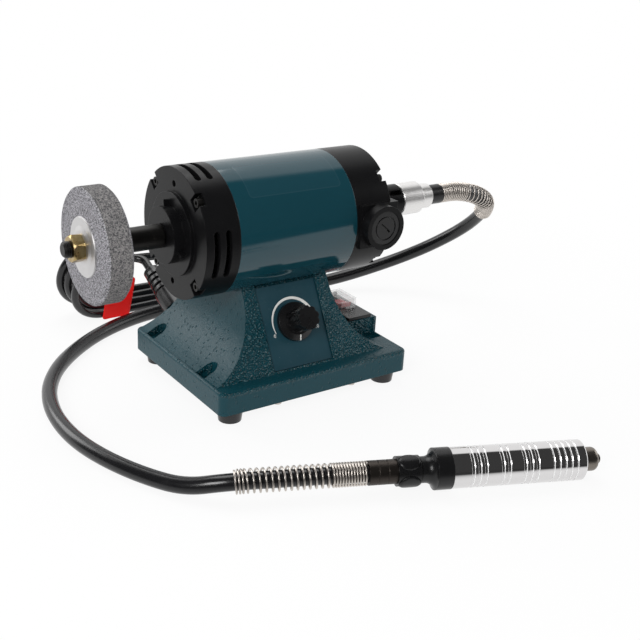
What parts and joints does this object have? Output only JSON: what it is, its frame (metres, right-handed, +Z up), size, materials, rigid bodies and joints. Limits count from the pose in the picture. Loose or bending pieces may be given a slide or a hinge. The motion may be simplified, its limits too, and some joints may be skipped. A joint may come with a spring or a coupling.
{
  "type": "bench grinder",
  "caption": "Small bench grinder with an abrasive wheel on a motor over a pedestal base, a speed knob, a hooded rocker switch and a flexible shaft to a handpiece.",
  "frame": {"origin": "middle of the four bench-bolt holes, on the underside of the base casting", "axes": "+Z up, X along the motor shaft with the wheel towards -X, the control panel facing -Y"},
  "size_m": [0.3986, 0.4102, 0.1595],
  "materials": {
    "hammered_paint": "dark blue-green hammered paint on cast metal",
    "motor_paint": "dark blue-green gloss paint on a steel tube",
    "black_cast": "black satin paint on cast aluminium",
    "black_plastic": "black moulded plastic",
    "panel": "dark blue-green panel with a plain scale",
    "rubber": "black rubber",
    "steel": "turned or pressed steel",
    "plated": "bright nickel or zinc plate",
    "black_screws": "blackened steel",
    "yellow_zinc": "yellow zinc plate",
    "bronzed": "dark bronzed metal",
    "aluminium": "turned and polished aluminium",
    "abrasive": "grey bonded abrasive web",
    "copper": "varnished copper",
    "carbon": "pressed carbon",
    "control_body": "moulded control body",
    "red_plastic": "red moulded plastic",
    "clear_plastic": "clear moulded plastic",
    "red_card": "plain red card"
  },
  "bodies": {
    "stand": {"base_casting": "hammered_paint", "motor_tube": "motor_paint", "front_end_cap": "black_cast", "rear_end_cap": "black_cast", "coupling_spigot": "black_cast", "brush_caps": "black_plastic", "switch_bezel": "black_plastic", "switch_body": "black_plastic", "shaft_ferrule": "black_plastic", "hand_neck": "black_plastic", "plug_body": "black_plastic", "brush_holders": "black_plastic", "cord_tie": "black_plastic", "control_panel": "panel", "rubber_feet": "rubber", "flex_sheath": "rubber", "mains_lead": "rubber", "mains_boot": "rubber", "stator_core": "steel", "front_bearing": "steel", "rear_bearing": "steel", "flex_core": "steel", "hand_bearings": "steel", "bottom_cover": "steel", "panel_nut": "steel", "rocker_pin": "steel", "hood_pin": "steel", "coupling_spring": "plated", "hand_spring": "plated", "brush_springs": "plated", "plug_pins": "plated", "foot_screws": "plated", "cover_screws": "plated", "cap_screws": "black_screws", "hand_ferrule": "bronzed", "coupling_nut": "aluminium", "hand_sleeve": "aluminium", "field_coils": "copper", "carbon_brushes": "carbon", "speed_control": "control_body", "cord_tag": "red_card"},
    "rotor": {"motor_shaft": "black_screws", "armature_core": "steel", "armature_windings": "copper", "commutator": "copper", "cooling_fan": "black_plastic", "arbor_sleeve": "black_screws", "inner_flange": "plated", "grinding_wheel": "abrasive", "outer_flange": "plated", "wheel_nut": "yellow_zinc", "core_driver": "steel"},
    "speed_dial": {"speed_knob": "black_plastic", "speed_spindle": "steel"},
    "rocker": {"switch_rocker": "red_plastic"},
    "hood": {"switch_hood": "clear_plastic"},
    "chuck": {"hand_spindle": "steel", "collet": "steel", "collet_nut": "steel"}
  },
  "joints": [
    {"name": "rotor_spin", "type": "hinge", "parent": "stand", "child": "rotor", "pos_m": [0, -0.007, 0.1065], "axis": [1, 0, 0], "continuous": true},
    {"name": "speed_turn", "type": "hinge", "parent": "stand", "child": "speed_dial", "pos_m": [-0.0053, -0.04449, 0.04399], "axis": [0, 0.8746, -0.4848], "range_deg": [0, 280]},
    {"name": "rocker_tilt", "type": "hinge", "parent": "stand", "child": "rocker", "pos_m": [0.0645, -0.004, 0.029], "axis": [1, 0, 0], "range_deg": [0, 18]},
    {"name": "hood_flip", "type": "hinge", "parent": "stand", "child": "hood", "pos_m": [0.0645, 0.0102, 0.032], "axis": [-1, 0, 0], "range_deg": [0, 100]},
    {"name": "chuck_spin", "type": "hinge", "parent": "stand", "child": "chuck", "pos_m": [-0.1085, -0.1479, 0.0037], "axis": [0.9219, -0.3875, 0], "continuous": true}
  ],
  "couplings": [
    {"joint": "chuck_spin", "follows": "rotor_spin", "ratio": 1}
  ]
}
